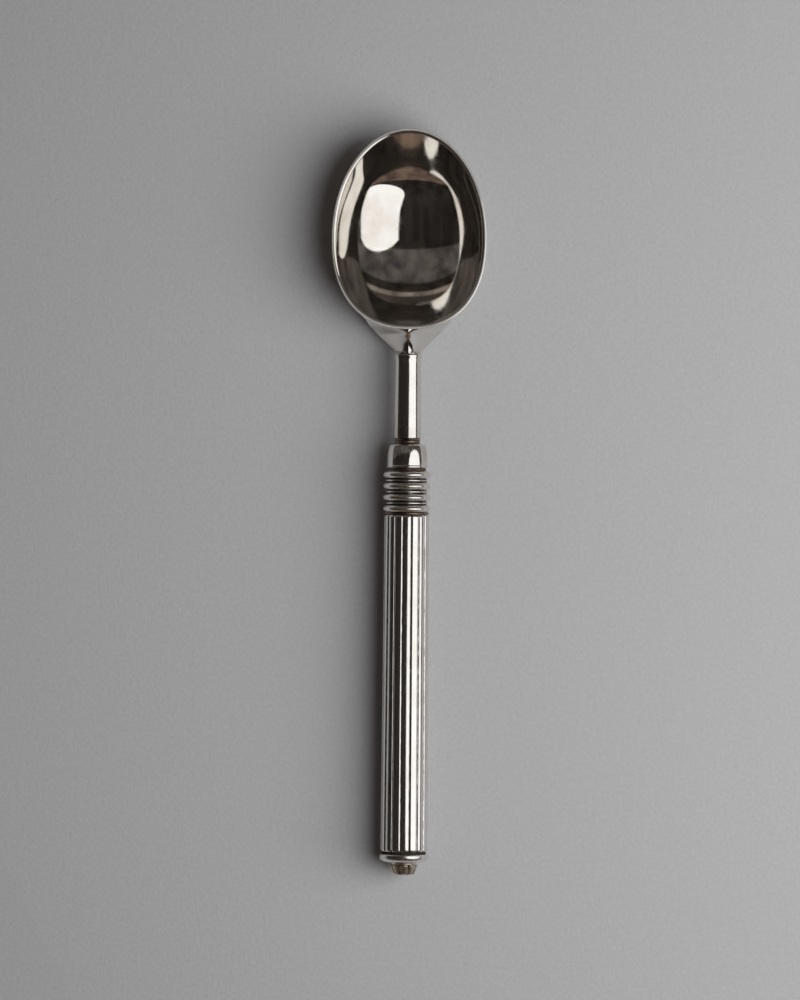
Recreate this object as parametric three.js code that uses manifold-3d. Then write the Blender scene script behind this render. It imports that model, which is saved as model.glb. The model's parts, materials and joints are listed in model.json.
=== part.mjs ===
// Ice cream scoop: an egg-shaped bowl with a funnel neck, a plain shaft, a ferrule, four bead rings and a
// reeded handle tube, all drawn together on one tie rod by a bud-shaped nut at the end.
//
// Millimetres. +Z is up and the scoop lies on Z = 0 on its bowl and its end cap, bowl towards +Y.
// The handle stack is turned about one axis that rises towards the bowl. A place on that axis is given by
// its distance s from the neck's end, counted towards the finial.
import * as THREE from 'three';
import { mergeVertices } from 'three/addons/utils/BufferGeometryUtils.js';
import Module from 'manifold-3d';

const wasm = await Module();
wasm.setup();

// Bowl: rim outline, its depth along the middle, and round cross-sections from rim to rim
const BOWL_DEPTH = 15.0;
const RIM_HALF_WIDTH = 24.7;
const TIP_LENGTH = 35.0;
const BLUNT_LENGTH = 29.2;
const TIP_POWER = 2;
const BLUNT_POWER = 2.35;
const TIP_BEND_AT = 18.5;
const TIP_BEND_WIDTH = 4.5;
const BLUNT_DISH_SHARE = 0.65;
const BLUNT_WALL_POWER = 3.5;
const WALL = 1.2;
const REST_FLAT_DEPTH = 0.2;

// Neck: funnel between the bowl and the shaft
const NECK_LENGTH = 7.6;
const NECK_RADIUS = 4.15;
const NECK_HEIGHT = 8.85;
const NECK_FILLET = 0.95;
const FLANK_SLOPE = 1.03;
const RIDGE_SLOPE = 0.42;
const RIDGE_BELOW_RIM = 0.6;
const RIDGE_LIFT_FROM = 5.5;
const RIDGE_LIFT_TO = 9.5;
const RIDGE_POWER = 1.05;
const RIDGE_SHARP_AT = 5.5;
const KEEL_BLEND = 1.5;
const FLANK_LIFT = 5.6;
const LIFT_FROM = 5;
const LIFT_TO = 13;
const FLANK_BLEND_FROM = 8;
const FLANK_BLEND_TO = 17;
const NECK_INSET = 0.3;
const NECK_SHORT_OF_MIDDLE = 3.8;

// Fits
const SEAT_GAP = 0.3;
const ROD_RADIUS = 2.0;
const ROD_BORE = ROD_RADIUS + SEAT_GAP;
const SPIGOT_RADIUS = 3.2;
const SPIGOT_LENGTH = 4.0;
const ROD_GRIP = 7.4;

// Shaft
const SHAFT_LENGTH = 27.0;
const SHAFT_TOP_RADIUS = 4.15;
const SHAFT_BASE_RADIUS = 4.4;
const SHAFT_LIP_RADIUS = 4.5;
const SHAFT_LIP_LENGTH = 1.8;
const SHAFT_CHAMFER = 0.5;

// Collar stack
const NECK_RING_LENGTH = 1.2;
const NECK_RING_RADIUS = 4.6;
const NECK_RING_WAIST = 4.0;
const FERRULE_LENGTH = 7.2;
const FERRULE_TOP_RADIUS = 5.4;
const FERRULE_BASE_RADIUS = 6.46;
const FERRULE_FOOT_RADIUS = 6.6;
const FERRULE_FOOT_LENGTH = 0.5;
const FERRULE_CROWN = 3.4;
const COVE_LENGTH = 0.8;
const COVE_RADIUS = 6.3;
const COVE_WAIST = 6.05;
const BEAD_COUNT = 4;
const BEAD_LENGTH = 2.0;
const BEAD_ROOT_RADIUS = 6.4;
const BEAD_RADIUS = 7.6;
const SPACER_LENGTH = 1.02;
const SPACER_RADIUS = 6.25;
const SPACER_RIDGE_RADIUS = 6.8;
const SPACER_RIDGE_WIDTH = 0.4;
const RING_SLEEVE_RADIUS = 5.2;
const RING_BORE = RING_SLEEVE_RADIUS + SEAT_GAP;

// Handle
const REED_COUNT = 16;
const REED_DEPTH = 0.55;
const REED_END_ROUND = 0.9;
const REED_PHASE_DEGREES = 10;
const TUBE_LENGTH = 107.5;
const TUBE_TOP_RADIUS = 7.15;
const TUBE_BASE_RADIUS = 7.55;
const TUBE_BORE = 6.05;
const PLUG_RADIUS = TUBE_BORE - SEAT_GAP;
const PLUG_LENGTH = 9.4;
const PLUG_FLANGE_RADIUS = 7.05;
const PLUG_FLANGE_LENGTH = 0.4;

// End cap, collar and finial
const GASKET_LENGTH = 0.4;
const GASKET_RADIUS = 7.0;
const CAP_LENGTH = 2.4;
const CAP_RADIUS = 7.9;
const CAP_EDGE = 0.3;
const CAP_LAND = 0.4;
const CAP_FACE_RADIUS = 4.3;
const COLLAR_LENGTH = 0.5;
const COLLAR_RADIUS = 4.2;
const NUT_SPIGOT_RADIUS = 3.0;
const NUT_HOLE = NUT_SPIGOT_RADIUS + SEAT_GAP;
const NUT_SPIGOT_LENGTH = 2.6;
const BUD_LENGTH = 3.0;
const BUD_BASE_RADIUS = 4.0;
const BUD_SWELL_RADIUS = 4.15;
const BUD_SWELL_AT = 0.3;
const BUD_WAIST_RADIUS = 3.5;
const BUD_WAIST_AT = 0.85;
const BUD_END_RADIUS = 3.0;
const BUD_LOBES = 8;
const LOBE_DEPTH = 0.35;
const BUD_BORE_FLOOR = 1.2;

// Facets
const TURN_SIDES = 32;
const ROD_SIDES = 24;
const ARC_STEPS = 6;
const BOWL_SIDES = 48;
const BOWL_RINGS = 24;
const NECK_SIDES = 40;
const NECK_STATIONS = 16;
const STATION_CROWDING = 1.6;
const REED_POINTS = 6;
const REED_END_STEPS = 3;
const LOBE_POINTS = 6;

const CUT_MARGIN = 5;

// Places along the handle axis
const shaftStart = SEAT_GAP;
const shaftEnd = shaftStart + SHAFT_LENGTH;
const neckRingStart = shaftEnd + SEAT_GAP;
const neckRingEnd = neckRingStart + NECK_RING_LENGTH;
const ferruleStart = neckRingEnd + SEAT_GAP;
const ferruleEnd = ferruleStart + FERRULE_LENGTH;
const coveStart = ferruleEnd + SEAT_GAP;
const coveEnd = coveStart + COVE_LENGTH;
const beadPitch = BEAD_LENGTH + SPACER_LENGTH + 2 * SEAT_GAP;
const firstBeadStart = coveEnd + SEAT_GAP;
const beadsEnd = firstBeadStart + (BEAD_COUNT - 1) * beadPitch + BEAD_LENGTH;
const flangeStart = beadsEnd + SEAT_GAP;
const flangeEnd = flangeStart + PLUG_FLANGE_LENGTH;
const tubeStart = flangeEnd + SEAT_GAP;
const tubeEnd = tubeStart + TUBE_LENGTH;
const gasketStart = tubeEnd + SEAT_GAP;
const gasketEnd = gasketStart + GASKET_LENGTH;
const capStart = gasketEnd + SEAT_GAP;
const capEnd = capStart + CAP_LENGTH;
const capLandEnd = capStart + CAP_EDGE + CAP_LAND;
const collarStart = capEnd + SEAT_GAP;
const collarEnd = collarStart + COLLAR_LENGTH;
const budStart = collarEnd + SEAT_GAP;
const budEnd = budStart + BUD_LENGTH;

// The axis leans so that the end cap's lowest facet lies on Z = 0 while the neck sits at its height
const capFlat = CAP_RADIUS * Math.cos(Math.PI / TURN_SIDES);
const tilt = Math.asin(NECK_HEIGHT / Math.hypot(capLandEnd, capFlat)) - Math.atan2(capFlat, capLandEnd);

// The neck's end is placed so that the whole scoop is centred along Y
const tipReach = NECK_LENGTH + BLUNT_LENGTH + TIP_LENGTH;
const endReach = budEnd * Math.cos(tilt) + BUD_END_RADIUS * Math.sin(tilt);
const neckY = (endReach - tipReach) / 2;
const bowlMiddle = NECK_LENGTH + BLUNT_LENGTH;
const bowlY = neckY + bowlMiddle;

const scoop = new THREE.Group();
const handle = new THREE.Group();
handle.position.set(0, neckY, NECK_HEIGHT);
handle.rotation.x = tilt;
handle.updateMatrix();
scoop.add(handle);

const polished = { color: 0xcfc9bd, roughness: 0.16, metalness: 1 };
const bowlMetal = { color: 0xcdc4ae, roughness: 0.14, metalness: 1 };
const tarnished = { color: 0x6b5f50, roughness: 0.4, metalness: 1 };
const brass = { color: 0xb9a06a, roughness: 0.32, metalness: 1 };
const steel = { color: 0x9a9a98, roughness: 0.4, metalness: 1 };
const darkFibre = { color: 0x231f1b, roughness: 0.85, metalness: 0 };

function addMesh(parent, name, geometry, look) {
  geometry.computeVertexNormals();
  const mesh = new THREE.Mesh(geometry, new THREE.MeshStandardMaterial(look));
  mesh.name = name;
  parent.add(mesh);
}

function toSolid(geometry) {
  const bare = geometry.clone();
  bare.deleteAttribute('normal');
  bare.deleteAttribute('uv');
  const merged = mergeVertices(bare);
  const index = merged.index.array;
  const triangles = [];
  for (let i = 0; i < index.length; i += 3) {
    const [a, b, c] = [index[i], index[i + 1], index[i + 2]];
    if (a !== b && b !== c && c !== a) triangles.push(a, b, c);
  }
  return new wasm.Manifold(new wasm.Mesh({
    numProp: 3,
    vertProperties: merged.attributes.position.array,
    triVerts: new Uint32Array(triangles)
  }));
}

function toGeometry(solid) {
  const mesh = solid.getMesh();
  const geometry = new THREE.BufferGeometry();
  geometry.setAttribute('position', new THREE.BufferAttribute(new Float32Array(mesh.vertProperties), 3));
  geometry.setIndex(new THREE.BufferAttribute(new Uint32Array(mesh.triVerts), 1));
  return geometry;
}

// Half of an ellipse or a quarter of it as [radius, s] points, from one angle to another
function arc(radius, s, reach, rise, fromDegrees, toDegrees) {
  const points = [];
  for (let i = 0; i <= ARC_STEPS; i += 1) {
    const angle = THREE.MathUtils.degToRad(fromDegrees + (toDegrees - fromDegrees) * i / ARC_STEPS);
    points.push([radius + reach * Math.cos(angle), s + rise * Math.sin(angle)]);
  }
  return points;
}

// A turned piece: outer and inner outlines as [radius, s] points with s growing
function turned(outer, inner, sides = TURN_SIDES) {
  const loop = [...outer].reverse().concat(inner);
  loop.push(loop[0]);
  const profile = loop.map(([radius, s]) => new THREE.Vector2(radius, -s));
  return new THREE.LatheGeometry(profile, sides, Math.PI / sides);
}

function plainBore(radius, from, to) {
  return [[radius, from], [radius, to]];
}

function makePlainRing(radius, bore, from, to) {
  return turned(plainBore(radius, from, to), plainBore(bore, from, to));
}

function turnedRod(radius, from, to, sides = ROD_SIDES) {
  const profile = [[0, to], [radius, to], [radius, from], [0, from]];
  return new THREE.LatheGeometry(profile.map(([r, s]) => new THREE.Vector2(r, -s)), sides, Math.PI / sides);
}

// Closed skin over rings of equally many points, with a flat fan over each end
function loft(rings) {
  const sides = rings[0].length;
  const middle = ring => ring.reduce((sum, p) => sum.add(p), new THREE.Vector3()).divideScalar(sides);
  const points = rings.flat();
  const firstMiddle = points.push(middle(rings[0])) - 1;
  const lastMiddle = points.push(middle(rings[rings.length - 1])) - 1;
  const index = [];
  const lastRing = (rings.length - 1) * sides;
  for (let i = 0; i < sides; i += 1) {
    const next = (i + 1) % sides;
    for (let ring = 0; ring < lastRing; ring += sides) {
      index.push(ring + i, ring + next, ring + sides + i);
      index.push(ring + next, ring + sides + next, ring + sides + i);
    }
    index.push(firstMiddle, next, i);
    index.push(lastMiddle, lastRing + i, lastRing + next);
  }
  const geometry = new THREE.BufferGeometry().setFromPoints(points);
  geometry.setIndex(index);
  return geometry;
}

const rimZ = BOWL_DEPTH + WALL;
const outerDepth = rimZ + REST_FLAT_DEPTH;

// Share of the way from the bowl's middle to a rim that is shrunk by some millimetres all round
function rimShare(x, y, shrink) {
  const power = y > 0 ? TIP_POWER : BLUNT_POWER;
  const length = (y > 0 ? TIP_LENGTH : BLUNT_LENGTH) - shrink;
  const across = Math.abs(x) / (RIM_HALF_WIDTH - shrink);
  return (across ** power + (Math.abs(y) / length) ** power) ** (1 / power);
}

// Share of the bowl's depth that its middle line has risen by, from the deepest place to the rim
function middleRise(y, length) {
  const bend = along => Math.log(Math.cosh((along - TIP_BEND_AT) / TIP_BEND_WIDTH));
  const climb = along => along + TIP_BEND_WIDTH * (bend(along) - bend(0));
  if (y > 0) return climb(y) / climb(length);
  const share = -y / length;
  return BLUNT_DISH_SHARE * share ** 2 + (1 - BLUNT_DISH_SHARE) * share ** BLUNT_WALL_POWER;
}

// Sag and radius of the round arc from rim to rim that is the bowl's section at a place along it
function skinArc(y, shrink, depth) {
  const power = y > 0 ? TIP_POWER : BLUNT_POWER;
  const length = (y > 0 ? TIP_LENGTH : BLUNT_LENGTH) - shrink;
  const along = Math.abs(y) / length;
  if (along >= 1) return { sag: 0, radius: 0 };
  const halfWidth = (RIM_HALF_WIDTH - shrink) * (1 - along ** power) ** (1 / power);
  const sag = depth * (1 - middleRise(y, length));
  return { sag, radius: (halfWidth ** 2 + sag ** 2) / (2 * sag) };
}

// Height of the bowl's skin over its lowest point
function skinHeight(x, y, shrink, depth) {
  const { sag, radius } = skinArc(y, shrink, depth);
  return depth - sag + radius - Math.sqrt(Math.max(0, radius ** 2 - x ** 2));
}

// Closed egg whose lower half is the bowl's skin and whose upper half mirrors it
function egg(shrink, depth) {
  const geometry = new THREE.SphereGeometry(1, BOWL_SIDES, BOWL_RINGS);
  geometry.rotateX(Math.PI / 2);
  const position = geometry.attributes.position;
  const point = new THREE.Vector3();
  for (let i = 0; i < position.count; i += 1) {
    point.fromBufferAttribute(position, i);
    const share = Math.min(1, Math.hypot(point.x, point.y));
    const side = Math.sign(point.z);
    if (share > 0) point.multiplyScalar(share / rimShare(point.x, point.y, shrink));
    const fromRim = depth - skinHeight(point.x, point.y, shrink, depth);
    position.setXYZ(i, point.x, point.y + bowlY, rimZ + side * fromRim);
  }
  return geometry;
}

// Half-width of the bowl's outside at a height, at a distance from the neck's end
function bowlHalfWidth(z, distance) {
  const { sag, radius } = skinArc(distance - bowlMiddle, 0, outerDepth);
  const overMiddle = Math.max(0, z - rimZ + sag);
  return Math.sqrt(Math.max(0, overMiddle * (2 * radius - overMiddle)));
}

// The lesser of two values, with the corner where they cross rounded off over a width
function smoothMin(a, b, width) {
  const share = THREE.MathUtils.clamp((b - a + width) / (2 * width), 0, 1);
  return THREE.MathUtils.lerp(b, a, share) - width * share * (1 - share);
}

// One ring of the funnel, at a distance from the neck's end, in the handle's own axes
function neckSection(distance) {
  const run = Math.hypot(distance, NECK_FILLET) - NECK_FILLET;
  const axisZ = NECK_HEIGHT + distance * Math.sin(tilt);
  const level = FLANK_LIFT * THREE.MathUtils.smoothstep(distance, LIFT_FROM, LIFT_TO);
  const cone = NECK_RADIUS + FLANK_SLOPE * run;
  const inBowl = bowlHalfWidth(axisZ + level, distance) - NECK_INSET;
  const blend = THREE.MathUtils.smoothstep(distance, FLANK_BLEND_FROM, FLANK_BLEND_TO);
  const halfWidth = THREE.MathUtils.lerp(cone, inBowl, blend);
  const lift = THREE.MathUtils.smoothstep(distance, RIDGE_LIFT_FROM, RIDGE_LIFT_TO);
  const ridgeLine = NECK_RADIUS + RIDGE_SLOPE * run;
  const ridge = THREE.MathUtils.lerp(ridgeLine, rimZ - RIDGE_BELOW_RIM - axisZ, lift);
  const sharp = THREE.MathUtils.smoothstep(distance, 0, RIDGE_SHARP_AT);
  const power = THREE.MathUtils.lerp(2, RIDGE_POWER, sharp);
  const bowlBottom = skinHeight(0, distance - bowlMiddle, 0, outerDepth) - REST_FLAT_DEPTH;
  const keelZ = smoothMin(NECK_HEIGHT - NECK_RADIUS, bowlBottom + NECK_INSET, KEEL_BLEND);
  const ring = [];
  for (let i = 0; i < NECK_SIDES; i += 1) {
    const angle = 2 * Math.PI * i / NECK_SIDES;
    let across = Math.cos(angle);
    let height = Math.sin(angle) * (axisZ + level - keelZ);
    if (Math.sin(angle) > 0) {
      across = Math.sign(across) * Math.abs(across) ** (2 / power);
      height = Math.sin(angle) ** (2 / power) * (ridge - level);
    }
    ring.push(new THREE.Vector3(-halfWidth * across, distance, level + height));
  }
  return ring;
}

function makeBowl() {
  const neckEnd = bowlMiddle - NECK_SHORT_OF_MIDDLE;
  const rings = [];
  for (let i = 0; i <= NECK_STATIONS; i += 1) {
    rings.push(neckSection(neckEnd * (i / NECK_STATIONS) ** STATION_CROWDING));
  }
  const toRow = geometry => geometry.applyMatrix4(handle.matrix);
  const spigot = toSolid(toRow(turnedRod(SPIGOT_RADIUS, -ROD_GRIP, SPIGOT_LENGTH, TURN_SIDES)));
  const socketFloor = ROD_GRIP + SEAT_GAP;
  const socket = toSolid(toRow(turnedRod(ROD_BORE, -socketFloor, SPIGOT_LENGTH + CUT_MARGIN)));
  const span = 2 * (tipReach + endReach);
  const keep = new THREE.BoxGeometry(span, span, rimZ).translate(0, 0, rimZ / 2);
  return toSolid(egg(0, outerDepth))
    .add(toSolid(toRow(loft(rings))))
    .add(spigot)
    .subtract(toSolid(egg(WALL, BOWL_DEPTH)))
    .subtract(socket)
    .intersect(toSolid(keep));
}

function makeShaft() {
  const counterbore = SPIGOT_RADIUS + SEAT_GAP;
  const counterboreEnd = SPIGOT_LENGTH + SEAT_GAP;
  const outer = [
    [SHAFT_LIP_RADIUS, shaftStart],
    [SHAFT_LIP_RADIUS, shaftStart + SHAFT_LIP_LENGTH / 4],
    [SHAFT_TOP_RADIUS, shaftStart + SHAFT_LIP_LENGTH],
    [SHAFT_BASE_RADIUS, shaftEnd - SHAFT_CHAMFER],
    [SHAFT_BASE_RADIUS - SHAFT_CHAMFER, shaftEnd]
  ];
  const inner = [
    ...plainBore(counterbore, shaftStart, counterboreEnd),
    ...plainBore(ROD_BORE, counterboreEnd, shaftEnd)
  ];
  return turned(outer, inner);
}

function makeWaistedRing(radius, waist, bore, from, to) {
  const half = (to - from) / 2;
  const outer = arc(radius, from + half, waist - radius, half, -90, 90);
  return turned(outer, plainBore(bore, from, to));
}

function makeFerrule() {
  const bulgeEnd = ferruleEnd - FERRULE_FOOT_LENGTH;
  const outer = [];
  for (let i = 0; i <= ARC_STEPS; i += 1) {
    const share = i / ARC_STEPS;
    const swell = (FERRULE_BASE_RADIUS - FERRULE_TOP_RADIUS) * Math.sin(share * Math.PI / 2);
    outer.push([FERRULE_TOP_RADIUS + swell, THREE.MathUtils.lerp(ferruleStart, bulgeEnd, share)]);
  }
  outer.push(...plainBore(FERRULE_FOOT_RADIUS, bulgeEnd, ferruleEnd));
  const crownEnd = ferruleStart + FERRULE_CROWN;
  const inner = [
    ...plainBore(ROD_BORE, ferruleStart, crownEnd),
    ...plainBore(RING_BORE, crownEnd, ferruleEnd)
  ];
  return turned(outer, inner);
}

function makeBead(from) {
  const half = BEAD_LENGTH / 2;
  const outer = arc(BEAD_ROOT_RADIUS, from + half, BEAD_RADIUS - BEAD_ROOT_RADIUS, half, -90, 90);
  return turned(outer, plainBore(RING_BORE, from, from + BEAD_LENGTH));
}

function makeSpacer(from) {
  const middle = from + SPACER_LENGTH / 2;
  const outer = [
    [SPACER_RADIUS, from],
    [SPACER_RADIUS, middle - SPACER_RIDGE_WIDTH],
    [SPACER_RIDGE_RADIUS, middle - SPACER_RIDGE_WIDTH / 2],
    [SPACER_RIDGE_RADIUS, middle + SPACER_RIDGE_WIDTH / 2],
    [SPACER_RADIUS, middle + SPACER_RIDGE_WIDTH],
    [SPACER_RADIUS, from + SPACER_LENGTH]
  ];
  return turned(outer, plainBore(RING_BORE, from, from + SPACER_LENGTH));
}

function makeUpperPlug() {
  const plugEnd = flangeEnd + PLUG_LENGTH;
  const outer = [
    ...plainBore(PLUG_FLANGE_RADIUS, flangeStart, flangeEnd),
    ...plainBore(PLUG_RADIUS, flangeEnd, plugEnd)
  ];
  return turned(outer, plainBore(ROD_BORE, flangeStart, plugEnd));
}

// Outline of the reeded tube at s: convex reeds that round down to the groove circle at both ends
function reedRing(s) {
  const fromEnd = Math.min(s - tubeStart, tubeEnd - s, REED_END_ROUND) / REED_END_ROUND;
  const height = REED_DEPTH * Math.sqrt(1 - (1 - fromEnd) ** 2);
  const crest = THREE.MathUtils.mapLinear(s, tubeStart, tubeEnd, TUBE_TOP_RADIUS, TUBE_BASE_RADIUS);
  const count = REED_COUNT * REED_POINTS;
  const ring = [];
  for (let i = 0; i < count; i += 1) {
    const across = 2 * (i % REED_POINTS) / REED_POINTS - 1;
    const radius = crest - REED_DEPTH + height * Math.sqrt(1 - across ** 2);
    const angle = 2 * Math.PI * i / count + THREE.MathUtils.degToRad(REED_PHASE_DEGREES);
    ring.push(new THREE.Vector3(radius * Math.cos(angle), -s, radius * Math.sin(angle)));
  }
  return ring;
}

function makeTube() {
  const ends = [];
  for (let i = 0; i <= REED_END_STEPS; i += 1) {
    ends.push(REED_END_ROUND * (1 - Math.cos(i / REED_END_STEPS * Math.PI / 2)));
  }
  const stations = [...ends.map(end => tubeStart + end), ...ends.reverse().map(end => tubeEnd - end)];
  const bore = turnedRod(TUBE_BORE, tubeStart - CUT_MARGIN, tubeEnd + CUT_MARGIN, TURN_SIDES);
  return toSolid(loft(stations.map(reedRing))).subtract(toSolid(bore));
}

function makeCap() {
  const outer = [
    [CAP_RADIUS - CAP_EDGE, capStart],
    ...plainBore(CAP_RADIUS, capStart + CAP_EDGE, capLandEnd),
    ...arc(CAP_FACE_RADIUS, capLandEnd, CAP_RADIUS - CAP_FACE_RADIUS, capEnd - capLandEnd, 90 / ARC_STEPS, 90)
  ];
  return turned(outer, plainBore(NUT_HOLE, capStart, capEnd));
}

function makeCollar() {
  const half = COLLAR_LENGTH / 2;
  const outer = arc(COLLAR_RADIUS - half, collarStart + half, half, half, -90, 90);
  return turned(outer, plainBore(NUT_HOLE, collarStart, collarEnd));
}

// Outline of the bud at a share of its length: lobes on a round that draws in towards the end
function budRing(share, radius) {
  const count = BUD_LOBES * LOBE_POINTS;
  const ring = [];
  for (let i = 0; i < count; i += 1) {
    const angle = 2 * Math.PI * i / count;
    const lobe = LOBE_DEPTH * (1 - Math.abs(Math.cos(angle * BUD_LOBES / 2)));
    const s = budStart + share * BUD_LENGTH;
    ring.push(new THREE.Vector3((radius - lobe) * Math.cos(angle), -s, (radius - lobe) * Math.sin(angle)));
  }
  return ring;
}

function makeFinial() {
  const bud = loft([
    budRing(0, BUD_BASE_RADIUS),
    budRing(BUD_SWELL_AT, BUD_SWELL_RADIUS),
    budRing(BUD_WAIST_AT, BUD_WAIST_RADIUS),
    budRing(1, BUD_END_RADIUS)
  ]);
  const spigotStart = budStart - NUT_SPIGOT_LENGTH;
  const spigot = turnedRod(NUT_SPIGOT_RADIUS, spigotStart, budStart + BUD_LENGTH / 2, TURN_SIDES);
  const bore = turnedRod(ROD_BORE, spigotStart - CUT_MARGIN, budEnd - BUD_BORE_FLOOR);
  return toSolid(bud).add(toSolid(spigot)).subtract(toSolid(bore));
}

addMesh(scoop, 'bowl', toGeometry(makeBowl()), bowlMetal);
addMesh(handle, 'tie_rod', turnedRod(ROD_RADIUS, -ROD_GRIP, budEnd - BUD_BORE_FLOOR - SEAT_GAP), steel);
addMesh(handle, 'shaft_sleeve', makeShaft(), polished);
const neckRing = makeWaistedRing(NECK_RING_RADIUS, NECK_RING_WAIST, ROD_BORE, neckRingStart, neckRingEnd);
addMesh(handle, 'neck_ring', neckRing, tarnished);
addMesh(handle, 'ferrule', makeFerrule(), polished);
const coveRing = makeWaistedRing(COVE_RADIUS, COVE_WAIST, RING_BORE, coveStart, coveEnd);
addMesh(handle, 'cove_ring', coveRing, tarnished);
for (let i = 0; i < BEAD_COUNT; i += 1) {
  const beadStart = firstBeadStart + i * beadPitch;
  addMesh(handle, `bead_ring_${i + 1}`, makeBead(beadStart), polished);
  if (i < BEAD_COUNT - 1) {
    addMesh(handle, `spacer_ring_${i + 1}`, makeSpacer(beadStart + BEAD_LENGTH + SEAT_GAP), tarnished);
  }
}
const sleeveStart = ferruleStart + FERRULE_CROWN + SEAT_GAP;
addMesh(handle, 'ring_sleeve', makePlainRing(RING_SLEEVE_RADIUS, ROD_BORE, sleeveStart, beadsEnd), steel);
addMesh(handle, 'upper_plug', makeUpperPlug(), polished);
addMesh(handle, 'handle_tube', toGeometry(makeTube()), polished);
const lowerPlugStart = tubeEnd - PLUG_LENGTH;
addMesh(handle, 'lower_plug', makePlainRing(PLUG_RADIUS, ROD_BORE, lowerPlugStart, tubeEnd), steel);
addMesh(handle, 'cap_gasket', makePlainRing(GASKET_RADIUS, ROD_BORE, gasketStart, gasketEnd), darkFibre);
addMesh(handle, 'end_cap', makeCap(), polished);
addMesh(handle, 'finial_collar', makeCollar(), polished);
addMesh(handle, 'finial_nut', toGeometry(makeFinial()), brass);

export default scoop;
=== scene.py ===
import json
import math

import bpy
import bmesh
import mathutils
import numpy as np
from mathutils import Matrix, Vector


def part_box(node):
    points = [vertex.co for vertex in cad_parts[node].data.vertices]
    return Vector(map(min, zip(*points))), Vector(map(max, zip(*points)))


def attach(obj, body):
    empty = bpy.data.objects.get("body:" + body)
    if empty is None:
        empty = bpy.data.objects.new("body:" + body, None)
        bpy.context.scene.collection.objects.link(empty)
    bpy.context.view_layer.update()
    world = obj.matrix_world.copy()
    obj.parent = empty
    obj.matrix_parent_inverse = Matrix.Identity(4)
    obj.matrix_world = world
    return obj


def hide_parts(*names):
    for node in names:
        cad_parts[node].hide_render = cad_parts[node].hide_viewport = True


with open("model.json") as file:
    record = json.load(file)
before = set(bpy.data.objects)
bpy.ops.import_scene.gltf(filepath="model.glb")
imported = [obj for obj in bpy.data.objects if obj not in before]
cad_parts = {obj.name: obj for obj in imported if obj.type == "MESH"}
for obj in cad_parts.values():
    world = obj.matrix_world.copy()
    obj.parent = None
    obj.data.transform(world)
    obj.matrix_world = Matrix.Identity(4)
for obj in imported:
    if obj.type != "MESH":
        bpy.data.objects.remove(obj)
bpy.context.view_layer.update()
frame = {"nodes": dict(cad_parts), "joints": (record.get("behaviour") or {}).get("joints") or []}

MM = 0.001

# Bowl form, in millimetres, as in the part's source
BOWL_DEPTH = 15.0
TIP_LENGTH = 35.0
BLUNT_LENGTH = 29.2
TIP_POWER = 2.0
BLUNT_POWER = 2.35
TIP_BEND_AT = 18.5
TIP_BEND_WIDTH = 4.5
BLUNT_DISH_SHARE = 0.65
BLUNT_WALL_POWER = 3.5
WALL = 1.2
REST_FLAT_DEPTH = 0.2
BOWL_SIDES = 320
BOWL_RINGS = 90
BISECTIONS = 30
LIP_INSIDE = 0.55
LIP_OUTSIDE = 0.1
LIP_STEPS = 16

# Worn bright line on the rim, placed by its share of the way from the lip's inside to its outside
RIM_SCUFF = 0.6
SCUFF_AT = 0.72
SCUFF_WIDTH = 0.16

# Funnel neck, in millimetres; each span is where a change begins and ends, from the neck's end on
NECK_LENGTH = 7.6
NECK_RADIUS = 4.15
NECK_HEIGHT = 8.85
NECK_FILLET = 0.95
NECK_EDGE = 0.25
NECK_FACE_SHARE = 0.75
FLANK_SLOPE = 1.03
RIDGE_SLOPE = 0.42
RIDGE_BELOW_RIM = 0.6
RIDGE_LIFT = (5.5, 9.5)
NECK_END_SPAN = (0.0, 0.8)
RIDGE_POWER = 1.05
RIDGE_SPAN = (-3.5, 4.8)
RIM_POWER = 2.6
RIM_FILLET = (6.0, 10.5)
KEEL_BLEND = 1.5
FLANK_DROP = 3.0
DROP_SPAN = (0.0, 1.6)
FLANK_LIFT = 5.6
LIFT_SPAN = (7.5, 13.0)
FLANK_BLEND = (11.5, 16.0)
KEEL_FADE = (9.0, 21.0)
NECK_INSET = 0.3
NECK_END = 24.0
NECK_SIDES = 192
NECK_STATIONS = 80
STATION_CROWDING = 1.3
TRIM_INSIDE = 0.45

# Handle stack, in millimetres
SEAT_GAP = 0.3
SEAM_CLOSE = 0.11
ROD_BORE = 2.3
RING_BORE = 5.5
TURN_SIDES = 128
FLAT_WEIGHT = 80
ROUND_STEPS = 6
SHAFT_TOP_RADIUS = 4.15
SHAFT_BASE_RADIUS = 4.4
SHAFT_LIP_LENGTH = 1.8
SHAFT_CHAMFER = 0.5
SHAFT_LIP_BEVEL = 0.1
SHAFT_CLEAN = 0.1
# Film over the shaft's lower part, kept to its top and upper left side, away from the softbox: tarnish, and
# painted shade on the side turned from the lamp
SHAFT_FILM_AND_SHADE = 0.55
SHAFT_FILM_AND_SHADE_FROM = 8.0
SHAFT_FILM_AND_SHADE_STATIONS = 12
SHADED_SIDE_FROM = np.radians((86, 100))
SHADED_SIDE_TO = np.radians((120, 150))
NECK_RING_WAIST = 4.0
FERRULE_TOP_RADIUS = 5.4
FERRULE_BASE_RADIUS = 6.46
FERRULE_POWER = 2.2
FERRULE_FOOT = 0.5
FERRULE_BEVEL = 0.25
FERRULE_SHARES = np.linspace(0.03, 1, 24)
COVE_WAIST = 6.05
BEAD_ROOT_RADIUS = 6.4
BEAD_CLEAN = 0.35
BEAD_STEPS = 28
SPACER_RADIUS = 6.25
SPACER_RIDGE_WIDTH = 0.4
PLUG_FLANGE_LENGTH = 0.4
PLUG_RADIUS = 5.75
REED_COUNT = 16
REED_POINTS = 16
REED_DEPTH = 0.55
REED_POWER = 2.8
REED_END_ROUND = 0.9
REED_END_STEPS = 10
REED_PHASE = math.radians(10)
TUBE_TOP_RADIUS = 7.15
TUBE_BASE_RADIUS = 7.55
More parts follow.
